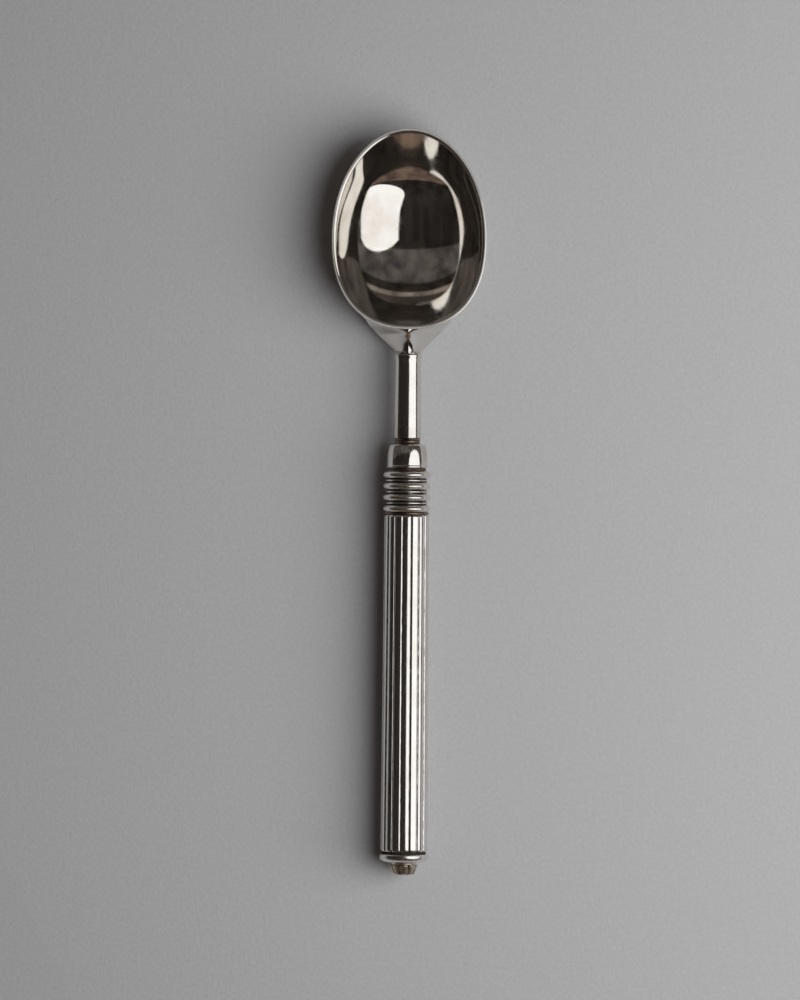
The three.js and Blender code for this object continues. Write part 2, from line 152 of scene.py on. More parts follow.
TUBE_BORE = 6.05
TUBE_STATIONS = 14
CAP_EDGE = 0.3
CAP_LAND = 0.4
CAP_FACE_RADIUS = 4.3
CAP_FACE_POWER = 2.8
CAP_STEPS = 24
CAP_CLEAN = 1.0
CAP_TARNISH_DEPTH = 8.0
COLLAR_STEPS = 16
COLLAR_TARNISH_DEPTH = 1.5
NUT_HOLE = 3.3
NUT_SPIGOT_RADIUS = 3.0
BUD_LENGTH = 3.0
BUD_LOBES = 8
LOBE_POINTS = 20
LOBE_DEPTH = 0.35
BUD_SHARES = (0.0, 0.08, 0.3, 0.6, 0.85, 0.95, 1.0)
BUD_RADII = (4.35, 4.4, 4.1, 3.72, 3.45, 3.3, 2.9)
BUD_ROWS = 24
BUD_FACE_SHARE = 0.6
BUD_CENTRE = 0.02
BUD_TARNISH = 0.8

# Camera: straight down, the image 800 by 1000
CAMERA_LENS = 240
CAMERA_SENSOR = 36
CAMERA_PLACE = (-0.0022, 0.0006, 2.1405)
CAMERA_TURN = math.radians(0.49)

# Floor, in metres
FLOOR_DROP = 0.0002
FLOOR_SIZE = 8.0
FLOOR_TONES = ((0.40, 0.40, 0.41, 1), (0.48, 0.48, 0.49, 1))
FLOOR_GRAIN = 900
FLOOR_ROUGHNESS = 0.9
FLOOR_RELIEF = 1e-4

# Light: one softbox, whose face is dimmer in mirrors than its light on matt surfaces
SOFTBOX_TOWARDS = (0.93, -0.28, 1.0)
SOFTBOX_DISTANCE = 0.75
SOFTBOX_SIZE = (1.01, 0.66)
SOFTBOX_FACE_POWER = 1.9
SOFTBOX_WASH_POWER = 6.3

# Room tones by how far a direction leans along Y, in degrees, against its Z with a little of its X
LEAN_AGAINST = (0.3, 0, 1)
ROOM_TONES = (
    (-90, (0.150, 0.105, 0.080, 1)),
    (-56, (0.130, 0.095, 0.075, 1)),
    (-53, (0.024, 0.021, 0.019, 1)),
    (11, (0.022, 0.019, 0.017, 1)),
    (12, (0.088, 0.078, 0.073, 1)),
    (51, (0.080, 0.071, 0.066, 1)),
    (54, (0.024, 0.020, 0.017, 1)),
    (64, (0.024, 0.020, 0.017, 1)),
    (66, (0.200, 0.175, 0.150, 1)),
    (70, (0.200, 0.175, 0.150, 1)),
    (72, (0.045, 0.037, 0.031, 1)),
    (90, (0.050, 0.042, 0.036, 1)),
)
CLUTTER_SCALE = 3.5
CLUTTER_STRENGTH = (0.55, 1.5)

# Wear of the plating: colours, and noise in cells per metre
TARNISH = (0.075, 0.048, 0.030, 1)
STAIN = (0.46, 0.38, 0.29, 1)
CLOUD_CELLS = 75
PIT_CELLS = 2300
SCRATCH_CELLS, SCRATCH_TURN = (9000, 260, 9000), 0.35
WIPE_CELLS, WIPE_TURN = (240, 8000, 8000), -0.5

# Levels between which each kind of wear sets in, followed by its strengths there if they aren't 0 and 1
PIT_LEVELS = (0.70, 0.76)
PIT_CLOUD_LEVELS = (0.45, 0.65)
PATCH_LEVELS = (0.25, 0.75, 0.55, 1.3)
DIRT_LEVELS = (0.25, 0.85)
STAIN_LEVELS = (0.42, 0.78)
BARE_LEVELS = (0.2, 0.6, 0.7, 1.0)
GLOSS_LEVELS = (0.3, 0.75)
DIRT_ROUGHNESS = 0.35

# Turned steel and pressed fibre, with noise in cells per metre and relief in metres
STEEL_RINGS, STEEL_RING_RELIEF = (150, 9000, 150), 2e-6
STEEL_CLOUDS, STEEL_SHADE = 90, 0.6
STEEL_ROUGHNESS = (0.28, 0.48)
FIBRE_CELLS, FIBRE_RELIEF = 1600, 3e-5
FIBRE_TONES = ((0.010, 0.008, 0.007, 1), (0.045, 0.036, 0.028, 1))
FIBRE_ROUGHNESS = (0.7, 0.95)

# The handle's axis, from the joint that lies on it
turn_joint = next(j for j in frame["joints"] if j["name"] == "finial_turn")
AXIS_POINT = np.array(turn_joint["pos_m"]) / MM
OUTWARD = np.array(turn_joint["axis"])
ACROSS = np.array((1.0, 0.0, 0.0))
UPWARD = np.cross(OUTWARD, ACROSS)


def node_points(name):
    """The CAD node's vertices, in millimetres."""
    return np.array([v.co for v in frame["nodes"][name].data.vertices]) / MM


def span(name):
    """Where a turned node begins and ends along the axis, and its greatest radius, in millimetres."""
    points = node_points(name) - AXIS_POINT
    along = points @ OUTWARD
    return along.min(), along.max(), np.hypot(points @ ACROSS, points @ UPWARD).max()


def closed_span(name):
    """A turned node's span, drawn out at both ends until the seams to its neighbours are nearly closed."""
    start, end, radius = span(name)
    return start - SEAM_CLOSE, end + SEAM_CLOSE, radius


def smoothstep(value, start, end):
    share = np.clip((value - start) / (end - start), 0, 1)
    return share * share * (3 - 2 * share)


def mix(a, b, share):
    return a + (b - a) * share


def grid_faces(rows, columns, closed):
    """Quads over rows of equally many points, round each row, and from the last to the first if closed."""
    faces = []
    for row in range(rows if closed else rows - 1):
        here, after = row * columns, (row + 1) % rows * columns
        for i in range(columns):
            j = (i + 1) % columns
            faces.append((here + i, here + j, after + j, after + i))
    return faces


def set_values(mesh, name, values):
    """Gives each point of a mesh a number, under a name that the materials read."""
    mesh.attributes.new(name, "FLOAT", "POINT").data.foreach_set("value", values)


def add_piece(name, points, faces, recess, look, body="scoop", weighted=True):
    """A smooth mesh, in millimetres, that stands for the CAD node of its name.

    recess says for each point how deep it lies in a groove, from 0 to 1, for the tarnish.
    """
    mesh = bpy.data.meshes.new(name)
    mesh.from_pydata((np.asarray(points) * MM).tolist(), [], faces)
    set_values(mesh, "recess", np.clip(recess, 0, 1))
    tidy = bmesh.new()
    tidy.from_mesh(mesh)
    bmesh.ops.recalc_face_normals(tidy, faces=tidy.faces)
    tidy.to_mesh(mesh)
    tidy.free()
    mesh.shade_smooth()
    mesh.materials.append(look)
    piece = bpy.data.objects.new(name + "_dressed", mesh)
    bpy.context.scene.collection.objects.link(piece)
    if weighted:
        piece.modifiers.new("flat faces stay flat", "WEIGHTED_NORMAL").weight = FLAT_WEIGHT
    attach(piece, body)
    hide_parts(name)
    return piece


def outline(corners):
    """A closed outline through (along, radius, rounding) corners, each rounded off by a short curve."""
    points = []
    for i, (along, radius, rounding) in enumerate(corners):
        corner = np.array((along, radius))
        if rounding == 0:
            points.append(corner)
            continue
        before = np.array(corners[i - 1][:2]) - corner
        after = np.array(corners[(i + 1) % len(corners)][:2]) - corner
        start = before * min(rounding / np.linalg.norm(before), 0.5)
        end = after * min(rounding / np.linalg.norm(after), 0.5)
        for t in np.linspace(0, 1, ROUND_STEPS):
            points.append(corner + (1 - t) ** 2 * start + t ** 2 * end)
    return np.array(points)


def round_points(along, radius, reach, rise, from_degrees, to_degrees, steps=20, power=2):
    """Corners without rounding, on an elliptic arc about (along, radius), fuller with a higher power."""
    angles = np.radians(np.linspace(from_degrees, to_degrees, steps))
    sines, cosines = np.sin(angles), np.cos(angles)
    alongs = along + rise * np.sign(sines) * np.abs(sines) ** (2 / power)
    radii = radius + reach * np.sign(cosines) * np.abs(cosines) ** (2 / power)
    return [(a, r, 0) for a, r in zip(alongs, radii)]


def turned_points(points, sides=TURN_SIDES):
    """The points of an outline turned about the handle's axis."""
    angles = np.linspace(0, 2 * math.pi, sides, endpoint=False)
    spokes = np.outer(np.cos(angles), ACROSS) + np.outer(np.sin(angles), UPWARD)
    rows = AXIS_POINT + points[:, :1] * OUTWARD
    return (rows[:, None, :] + points[:, 1, None, None] * spokes).reshape(-1, 3)


def add_turned(name, corners, look, crest=None, depth=1.0, body="scoop", film=None):
    """A turned piece. Tarnish gathers where the outline lies below its crest radius by up to depth.

    film may give a further share of tarnish and painted shade for each place along the axis and angle about
    it.
    """
    points = outline(corners)
    radius = points[:, 1]
    crest = radius.max() if crest is None else crest
    recess = np.repeat((crest - radius) / depth, TURN_SIDES)
    if film is not None:
        angles = np.linspace(0, 2 * math.pi, TURN_SIDES, endpoint=False)
        recess = np.maximum(recess, film(points[:, :1], angles).ravel())
    faces = grid_faces(len(points), TURN_SIDES, True)
    return add_piece(name, turned_points(points), faces, recess, look, body)


def new_material(name):
    material = bpy.data.materials.new(name)
    material.use_nodes = True
    return material, material.node_tree, material.node_tree.nodes["Principled BSDF"]


def wire(tree, kind, inputs=None, **settings):
    """Adds a node, sets its properties, and sets or links its inputs."""
    node = tree.nodes.new(kind)
    for key, value in settings.items():
        setattr(node, key, value)
    for key, value in (inputs or {}).items():
        if isinstance(value, bpy.types.NodeSocket):
            tree.links.new(value, node.inputs[key])
        else:
            node.inputs[key].default_value = value
    return node


def noise(tree, scale, detail=4, stretch=(1, 1, 1), turn=0.0):
    """Noise over the piece's own coordinates, in cells per metre, stretched and turned about Z."""
    place = wire(tree, "ShaderNodeTexCoord").outputs["Object"]
    spread = wire(tree, "ShaderNodeMapping", {"Vector": place, "Rotation": (0, 0, turn), "Scale": stretch})
    texture = {"Vector": spread.outputs[0], "Scale": scale, "Detail": detail}
    return wire(tree, "ShaderNodeTexNoise", texture).outputs[0]


def remap(tree, value, low, high, to_low=0.0, to_high=1.0):
    spread = {"Value": value, "From Min": low, "From Max": high, "To Min": to_low, "To Max": to_high}
    return wire(tree, "ShaderNodeMapRange", spread, interpolation_type="SMOOTHSTEP").outputs[0]


def maths(tree, operation, first, second):
    return wire(tree, "ShaderNodeMath", {0: first, 1: second}, operation=operation, use_clamp=True).outputs[0]


def blend(tree, share, first, second):
    return wire(tree, "ShaderNodeMix", {0: share, 6: first, 7: second}, data_type="RGBA").outputs[2]


def bump(tree, height, distance, under=None):
    inputs = {"Height": height, "Strength": 1.0, "Distance": distance}
    if under is not None:
        inputs["Normal"] = under
    return wire(tree, "ShaderNodeBump", inputs).outputs[0]


def plated(name, colour, rough, stain=0.3, scratch=1.5e-6, dent=1.5e-5, dent_scale=160, grain=420):
    """Silver plate: clouded polish, fine scratches both ways, small pits, and tarnish in the recesses.

    rough is its least and greatest roughness, scratch and dent are reliefs in metres, and dent_scale and
    grain are cells per metre. Where a piece is scuffed, it scatters light instead of mirroring.
    """
    material, tree, shader = new_material(name)
    cloud = noise(tree, CLOUD_CELLS, 6)
    film = noise(tree, grain, 5)
    pits = remap(tree, noise(tree, PIT_CELLS, 2), *PIT_LEVELS)
    scratches = noise(tree, 1, 3, SCRATCH_CELLS, SCRATCH_TURN)
    wipes = noise(tree, 1, 3, WIPE_CELLS, WIPE_TURN)
    recess = wire(tree, "ShaderNodeAttribute", attribute_name="recess").outputs["Fac"]
    patchy = maths(tree, "MULTIPLY", recess, remap(tree, film, *PATCH_LEVELS))
    dirt = remap(tree, patchy, *DIRT_LEVELS)
    spots = maths(tree, "MULTIPLY", pits, remap(tree, cloud, *PIT_CLOUD_LEVELS))
    stained = blend(tree, remap(tree, cloud, *STAIN_LEVELS, 0.0, stain), colour, STAIN)
    pitted = blend(tree, spots, stained, TARNISH)
    scuffed = wire(tree, "ShaderNodeAttribute", attribute_name="scuffed").outputs["Fac"]
    bare = maths(tree, "MULTIPLY", scuffed, remap(tree, film, *BARE_LEVELS))
    tree.links.new(maths(tree, "SUBTRACT", 1.0, bare), shader.inputs["Metallic"])
    tree.links.new(blend(tree, dirt, pitted, TARNISH), shader.inputs["Base Color"])
    gloss = remap(tree, film, *GLOSS_LEVELS, *rough)
    dull = maths(tree, "MULTIPLY", dirt, DIRT_ROUGHNESS)
    tree.links.new(maths(tree, "ADD", gloss, dull), shader.inputs["Roughness"])
    wavy = bump(tree, noise(tree, dent_scale, 2), dent)
    wiped = bump(tree, wipes, scratch, wavy)
    tree.links.new(bump(tree, scratches, scratch, wiped), shader.inputs["Normal"])
    return material


def turned_steel(name, colour):
    """Plain turned steel with fine rings, for the pieces inside."""
    material, tree, shader = new_material(name)
    rings = noise(tree, 1, 2, STEEL_RINGS)
    shader.inputs["Metallic"].default_value = 1.0
    darker = tuple(c * STEEL_SHADE for c in colour[:3]) + (1,)
    cloud = remap(tree, noise(tree, STEEL_CLOUDS), 0.4, 0.7)
    tree.links.new(blend(tree, cloud, colour, darker), shader.inputs["Base Color"])
    tree.links.new(remap(tree, rings, 0.3, 0.7, *STEEL_ROUGHNESS), shader.inputs["Roughness"])
    tree.links.new(bump(tree, rings, STEEL_RING_RELIEF), shader.inputs["Normal"])
    return material


def fibre(name):
    """Dark pressed fibre, slightly mottled."""
    material, tree, shader = new_material(name)
    mottle = noise(tree, FIBRE_CELLS, 5)
    tree.links.new(blend(tree, mottle, *FIBRE_TONES), shader.inputs["Base Color"])
    tree.links.new(remap(tree, mottle, 0.3, 0.7, *FIBRE_ROUGHNESS), shader.inputs["Roughness"])
    tree.links.new(bump(tree, mottle, FIBRE_RELIEF), shader.inputs["Normal"])
    return material


bowl_plate = plated("bowl_plate", (0.80, 0.775, 0.735, 1), (0.03, 0.10),
                    stain=0.4, scratch=1.6e-6, dent=4e-6, dent_scale=90)
shaft_plate = plated("shaft_plate", (0.84, 0.81, 0.765, 1), (0.08, 0.18),
                     stain=0.35, scratch=1.5e-6, dent=6e-6, grain=1300)
ferrule_plate = plated("ferrule_plate", (0.82, 0.80, 0.76, 1), (0.06, 0.15),
                       stain=0.45, scratch=2e-6, dent=1.5e-5, dent_scale=420)
bead_plate = plated("bead_plate", (0.86, 0.835, 0.80, 1), (0.18, 0.32),
                    stain=0.4, scratch=2e-6, dent=1.0e-5, dent_scale=320)
tube_plate = plated("tube_plate", (0.86, 0.84, 0.81, 1), (0.10, 0.19),
                    stain=0.25, scratch=1.0e-6, dent=1.5e-6, dent_scale=150)
cap_plate = plated("cap_plate", (0.86, 0.83, 0.79, 1), (0.18, 0.30),
                   stain=0.45, scratch=2e-6, dent=1.5e-5, dent_scale=360)
tarnished_plate = plated("tarnished_plate", (0.24, 0.185, 0.14, 1), (0.25, 0.45),
                         stain=0.4, scratch=2e-6, dent=1e-5, dent_scale=320)
worn_brass = plated("worn_brass", (0.70, 0.61, 0.50, 1), (0.30, 0.50),
                    stain=0.6, scratch=3e-6, dent=3e-5, dent_scale=520)
rod_steel = turned_steel("rod_steel", (0.60, 0.60, 0.59, 1))
dark_fibre = fibre("dark_fibre")

# Bowl, about its widest place
RIM_HALF_WIDTH, tip_y, RIM_Z = np.array(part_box("bowl")[1]) / MM
BOWL_Y = tip_y - TIP_LENGTH
BOWL_MIDDLE = NECK_LENGTH + BLUNT_LENGTH
OUTER_DEPTH = RIM_Z + REST_FLAT_DEPTH


def rim_share(x, y, shrink):
    """Share of the way from the bowl's middle to its rim, shrunk by some millimetres all round."""
    power = np.where(y > 0, TIP_POWER, BLUNT_POWER)
    length = np.where(y > 0, TIP_LENGTH, BLUNT_LENGTH) - shrink
    across = np.abs(x) / (RIM_HALF_WIDTH - shrink)
    return (across ** power + (np.abs(y) / length) ** power) ** (1 / power)


def tip_climb(along):
    """Rise of the middle line towards the tip, whose slope grows to its full around one place."""
    def bend(place):
        return np.log(np.cosh((place - TIP_BEND_AT) / TIP_BEND_WIDTH))

    return along + TIP_BEND_WIDTH * (bend(along) - bend(0))


def middle_rise(y, length):
    """Share of the bowl's depth that its middle line has risen by, from the deepest place to the rim."""
    share = np.clip(-y / length, 0, 1)
    blunt = BLUNT_DISH_SHARE * share ** 2 + (1 - BLUNT_DISH_SHARE) * share ** BLUNT_WALL_POWER
    return np.where(y > 0, tip_climb(y) / tip_climb(length), blunt)


def skin_arc(y, shrink, depth):
    """Sag and radius of the round arc from rim to rim that is the bowl's section at a place along it."""
    power = np.where(y > 0, TIP_POWER, BLUNT_POWER)
    length = np.where(y > 0, TIP_LENGTH, BLUNT_LENGTH) - shrink
    along = np.minimum(np.abs(y) / length, 1 - 1e-9)
    half_width = (RIM_HALF_WIDTH - shrink) * (1 - along ** power) ** (1 / power)
    sag = np.maximum(depth * (1 - middle_rise(y, length)), 1e-9)
    return sag, (half_width ** 2 + sag ** 2) / (2 * sag)


def skin_height(x, y, shrink, depth):
    """Height of the bowl's skin over its lowest point."""
    sag, radius = skin_arc(y, shrink, depth)
    return depth - sag + radius - np.sqrt(np.maximum(radius ** 2 - x ** 2, 0))


def skin_rows(shrink, depth, bottom, lip):
    """Rows of points from just off the bowl's bottom up to its lip, some millimetres below the rim."""
    angles = np.linspace(0, 2 * math.pi, BOWL_SIDES, endpoint=False)
    x, y = np.cos(angles), np.sin(angles)
    x, y = x / rim_share(x, y, shrink), y / rim_share(x, y, shrink)
    low, high = np.zeros(BOWL_SIDES), np.ones(BOWL_SIDES)
    for _ in range(BISECTIONS):
        middle = (low + high) / 2
        below = skin_height(x * middle, y * middle, shrink, depth) < depth - lip
        low, high = np.where(below, middle, low), np.where(below, high, middle)
    rows = []
    for ring in range(1, BOWL_RINGS + 1):
        share = low * math.sin(ring / BOWL_RINGS * math.pi / 2)
        z = bottom + skin_height(x * share, y * share, shrink, depth)
        rows.append(np.stack((x * share, y * share, np.maximum(z, 0)), axis=1))
    return rows


def bowl_shell():
    """Inside, rounded lip and outside of the bowl as one closed skin, and how scuffed each point is."""
    inside = skin_rows(WALL, BOWL_DEPTH, RIM_Z - BOWL_DEPTH, LIP_INSIDE)
    outside = skin_rows(0, OUTER_DEPTH, -REST_FLAT_DEPTH, LIP_OUTSIDE)
    crown = np.array((0, 0, (LIP_INSIDE + LIP_OUTSIDE) / 6))
    start, end = inside[-1], outside[-1]
    over_start = start + crown + (0, 0, LIP_INSIDE)
    over_end = end + crown + (0, 0, LIP_OUTSIDE)
    shares = np.linspace(0, 1, LIP_STEPS)[1:-1]
    lip = []
    for t in shares:
        u = 1 - t
        lip.append(u ** 3 * start + 3 * u * t * (u * over_start + t * over_end) + t ** 3 * end)
    rows = inside + lip + outside[::-1]
    points = np.concatenate(rows + [[(0, 0, RIM_Z - BOWL_DEPTH)], [(0, 0, 0)]])
    faces = grid_faces(len(rows), BOWL_SIDES, False)
    last = (len(rows) - 1) * BOWL_SIDES
    for i in range(BOWL_SIDES):
        j = (i + 1) % BOWL_SIDES
        faces.append((len(points) - 2, j, i))
        faces.append((len(points) - 1, last + i, last + j))
    scuffed = np.zeros(len(points))
    line = RIM_SCUFF * np.exp(-((shares - SCUFF_AT) / SCUFF_WIDTH) ** 2)
    lip_start = len(inside) * BOWL_SIDES
    scuffed[lip_start:lip_start + len(lip) * BOWL_SIDES] = np.repeat(line, BOWL_SIDES)
    return points + np.array((0, BOWL_Y, 0)), faces, scuffed


def bowl_half_width(z, distance):
    """Half-width of the bowl's outside at a height, at a distance from the neck's end."""
    sag, radius = skin_arc(np.array(distance - BOWL_MIDDLE), 0, OUTER_DEPTH)
    over_middle = np.maximum(z - RIM_Z + sag, 0)
    return np.sqrt(np.maximum(over_middle * (2 * radius - over_middle), 0))


def smooth_min(a, b, width):
    share = np.clip((b - a + width) / (2 * width), 0, 1)
    return mix(b, a, share) - width * share * (1 - share)


def axis_height(distance):
    """Height of the handle's axis, drawn on by a distance beyond the neck's end."""
    return NECK_HEIGHT - distance * OUTWARD[2]


def neck_section(distance):
    """The funnel's half-width, level of the greatest width, ridge, reach below that level, and ridge power.

    Heights are over the handle's axis.
    """
    run = math.hypot(distance, NECK_FILLET) - NECK_FILLET
    axis_z = axis_height(distance)
    drop = FLANK_DROP * smoothstep(distance, *DROP_SPAN)
    level = mix(-drop, FLANK_LIFT, smoothstep(distance, *LIFT_SPAN))
    in_bowl = bowl_half_width(axis_z + level, distance) - NECK_INSET
    half_width = mix(NECK_RADIUS + FLANK_SLOPE * run, in_bowl, smoothstep(distance, *FLANK_BLEND))
    ridge_line = NECK_RADIUS + RIDGE_SLOPE * run
    ridge = mix(ridge_line, RIM_Z - RIDGE_BELOW_RIM - axis_z, smoothstep(distance, *RIDGE_LIFT))
    bottom = skin_height(0.0, np.array(distance - BOWL_MIDDLE), 0, OUTER_DEPTH) - REST_FLAT_DEPTH
    keel = smooth_min(NECK_HEIGHT - NECK_RADIUS, bottom + NECK_INSET, KEEL_BLEND)
    sharp = smoothstep(distance, *NECK_END_SPAN) * smoothstep(distance, *RIDGE_SPAN)
    power = mix(mix(2, RIDGE_POWER, sharp), RIM_POWER, smoothstep(distance, *RIM_FILLET))
    return half_width, level, ridge, axis_z + level - keel, power


def neck_row(distance, share=1.0):
    """One ring of the funnel, drawn in to a share of its size."""
    half_width, level, ridge, reach_down, power = neck_section(distance)
    angles = np.linspace(0, 2 * math.pi, NECK_SIDES, endpoint=False)
    across, height = np.cos(angles), np.sin(angles)
    upper = height > 0
    fullness = 2 / power
    x = half_width * np.where(upper, np.sign(across) * np.abs(across) ** fullness, across)
    z = level + np.where(upper, np.abs(height) ** fullness * (ridge - level), height * reach_down)
    in_bowl = np.maximum(bowl_half_width(axis_height(distance) + z, distance) - NECK_INSET, 0)
    x = mix(x, np.clip(x, -in_bowl, in_bowl), smoothstep(distance, *KEEL_FADE))
    return NECK_PLACE + share * (np.outer(x, ACROSS) + np.outer(z, UPWARD)) - distance * OUTWARD


def inside_bowl(points):
    """True for points well inside the bowl's outer skin."""
    x, y, z = points[:, 0], points[:, 1] - BOWL_Y, points[:, 2]
    skin = RIM_Z - OUTER_DEPTH + TRIM_INSIDE + skin_height(x, y, TRIM_INSIDE, OUTER_DEPTH - TRIM_INSIDE)
    return (rim_share(x, y, TRIM_INSIDE) < 1) & (z > skin)


def bowl_neck():
    """The funnel as far as it shows outside the bowl's skin."""
    rows = [neck_row(0, NECK_FACE_SHARE)]
    for step in range(ROUND_STEPS):
        angle = step / (ROUND_STEPS - 1) * math.pi / 2
        edge = NECK_EDGE * (1 - math.sin(angle)) / NECK_RADIUS
        rows.append(neck_row(NECK_EDGE * (1 - math.cos(angle)), 1 - edge))
    for station in range(1, NECK_STATIONS + 1):
        rows.append(neck_row(mix(NECK_EDGE, NECK_END, (station / NECK_STATIONS) ** STATION_CROWDING)))
    points = np.concatenate(rows)
    hidden = inside_bowl(points)
    faces = [f for f in grid_faces(len(rows), NECK_SIDES, False) if not all(hidden[i] for i in f)]
    return points, faces


shaft_start, shaft_end, shaft_lip = span("shaft_sleeve")
NECK_PLACE = AXIS_POINT + (shaft_start - SEAT_GAP + SEAM_CLOSE) * OUTWARD


def add_bowl():
    shell, shell_faces, scuffed = bowl_shell()
    neck, neck_faces = bowl_neck()
    points = np.concatenate((shell, neck))
    faces = shell_faces + [tuple(i + len(shell) for i in f) for f in neck_faces]
    bowl = add_piece("bowl", points, faces, np.zeros(len(points)), bowl_plate, weighted=False)
    scuffed = np.concatenate((scuffed, np.zeros(len(neck))))
    set_values(bowl.data, "scuffed", scuffed)


def add_shaft():
    start, end = shaft_start - SEAM_CLOSE, shaft_end + SEAM_CLOSE
    corners = [
        (start, ROD_BORE, 0),
        (start, shaft_lip - SHAFT_LIP_BEVEL, 0.15),
        (start + SHAFT_LIP_LENGTH / 4, shaft_lip, 0.4),
        (start + SHAFT_LIP_LENGTH, SHAFT_TOP_RADIUS, 1.5),
        (end - SHAFT_CHAMFER, SHAFT_BASE_RADIUS, 0.12),
        (end, SHAFT_BASE_RADIUS - SHAFT_CHAMFER, 0.1),
        (end, ROD_BORE, 0),
    ]
    taper_start, taper_end = start + SHAFT_LIP_LENGTH, end - SHAFT_CHAMFER
    film_and_shade_span = start + SHAFT_FILM_AND_SHADE_FROM, end - 2 * SHAFT_CHAMFER
    for along in np.linspace(*film_and_shade_span, SHAFT_FILM_AND_SHADE_STATIONS):
        share = (along - taper_start) / (taper_end - taper_start)
        corners.insert(-3, (along, mix(SHAFT_TOP_RADIUS, SHAFT_BASE_RADIUS, share), 0))

    # The film darkens the top and upper left of the shaft's lower part, the side away from the softbox:
    # tarnish there, and painted shade
    def film(along, angle):
        around = smoothstep(angle, *SHADED_SIDE_FROM) - smoothstep(angle, *SHADED_SIDE_TO)
        return SHAFT_FILM_AND_SHADE * smoothstep(along, *film_and_shade_span) * around

    add_turned("shaft_sleeve", corners, shaft_plate, SHAFT_TOP_RADIUS - SHAFT_CLEAN, 1.0, film=film)


def add_waisted_ring(name, waist, bore):
    start, end, radius = closed_span(name)
    half = (end - start) / 2
    arc = round_points(start + half, radius, waist - radius, half, -90, 90)
    corners = [(start, bore, 0)] + arc + [(end, bore, 0)]
    add_turned(name, corners, tarnished_plate, radius, 2 * (radius - waist))


def add_ferrule():
    start, end, radius = closed_span("ferrule")
    foot = end - FERRULE_FOOT
    corners = [(start, ROD_BORE, 0), (start, FERRULE_TOP_RADIUS - FERRULE_BEVEL, 0.1)]
    for share in FERRULE_SHARES:
        swell = (1 - (1 - share) ** FERRULE_POWER) ** (1 / FERRULE_POWER)
        radius_here = mix(FERRULE_TOP_RADIUS, FERRULE_BASE_RADIUS, swell)
        corners.append((mix(start, foot, share), radius_here, 0))
    corners += [(foot, radius, 0.12), (end, radius, 0.2), (end, RING_BORE, 0)]
    add_turned("ferrule", corners, ferrule_plate, FERRULE_TOP_RADIUS, 1.0)


def add_bead(name):
    start, end, radius = closed_span(name)
    half = (end - start) / 2
    rise = radius - BEAD_ROOT_RADIUS
    arc = round_points(start + half, BEAD_ROOT_RADIUS, rise, half, -90, 90, BEAD_STEPS)
    corners = [(start, RING_BORE, 0)] + arc + [(end, RING_BORE, 0)]
    add_turned(name, corners, bead_plate, radius - BEAD_CLEAN, rise)


def add_spacer(name):
    start, end, radius = closed_span(name)
    middle = (start + end) / 2
    corners = [
        (start, RING_BORE, 0),
        (start, SPACER_RADIUS, 0.05),
        (middle - SPACER_RIDGE_WIDTH, SPACER_RADIUS, 0.1),
        (middle - SPACER_RIDGE_WIDTH / 2, radius, 0.15),
        (middle + SPACER_RIDGE_WIDTH / 2, radius, 0.15),
        (middle + SPACER_RIDGE_WIDTH, SPACER_RADIUS, 0.1),
        (end, SPACER_RADIUS, 0.05),
        (end, RING_BORE, 0),
    ]
    add_turned(name, corners, bead_plate, radius, radius - SPACER_RADIUS)


def add_upper_plug():
    start, end, radius = span("upper_plug")
    start -= SEAM_CLOSE
    flange_end = start + PLUG_FLANGE_LENGTH + 2 * SEAM_CLOSE
    corners = [
        (start, ROD_BORE, 0),
        (start, radius, 0.15),
        (flange_end, radius, 0.15),
        (flange_end, PLUG_RADIUS, 0),
        (end, PLUG_RADIUS, 0),
        (end, ROD_BORE, 0),
    ]
    add_turned("upper_plug", corners, tarnished_plate, radius, 1.0)


def add_tube():
    """Reeded tube: convex reeds that round down to the groove circle at both ends."""
    start, end, _ = closed_span("handle_tube")
    ends = REED_END_ROUND * (1 - np.cos(np.linspace(0, math.pi / 2, REED_END_STEPS)))
    between = np.linspace(start, end, TUBE_STATIONS)[1:-1]
    places = np.concatenate((start + ends, between, (end - ends)[::-1]))
    count = REED_COUNT * REED_POINTS
    angles = 2 * math.pi * np.arange(count) / count + REED_PHASE
    across = 2 * (np.arange(count) % REED_POINTS) / REED_POINTS - 1
    bulge = (1 - np.abs(across) ** REED_POWER) ** (1 / REED_POWER)
    spokes = np.outer(np.cos(angles), ACROSS) + np.outer(np.sin(angles), UPWARD)
    rows, recess = [], []
    for place in places:
        from_end = min(place - start, end - place, REED_END_ROUND) / REED_END_ROUND
        height = REED_DEPTH * math.sqrt(max(0.0, 1 - (1 - from_end) ** 2))
        crest = mix(TUBE_TOP_RADIUS, TUBE_BASE_RADIUS, (place - start) / (end - start))
        radius = crest - REED_DEPTH + height * bulge
        rows.append(AXIS_POINT + place * OUTWARD + radius[:, None] * spokes)
        recess.append((crest - radius) / REED_DEPTH)
    bore = [AXIS_POINT + place * OUTWARD + TUBE_BORE * spokes for place in (end, start)]
    points = np.concatenate(rows + bore)
    recess = np.concatenate(recess + [np.ones(count), np.ones(count)])
    faces = grid_faces(len(rows) + len(bore), count, True)
    add_piece("handle_tube", points, faces, recess, tube_plate, weighted=False)


def add_gasket():
    start, end, radius = closed_span("cap_gasket")
    corners = [(start, ROD_BORE, 0), (start, radius, 0.1), (end, radius, 0.1), (end, ROD_BORE, 0)]
    add_turned("cap_gasket", corners, dark_fibre)


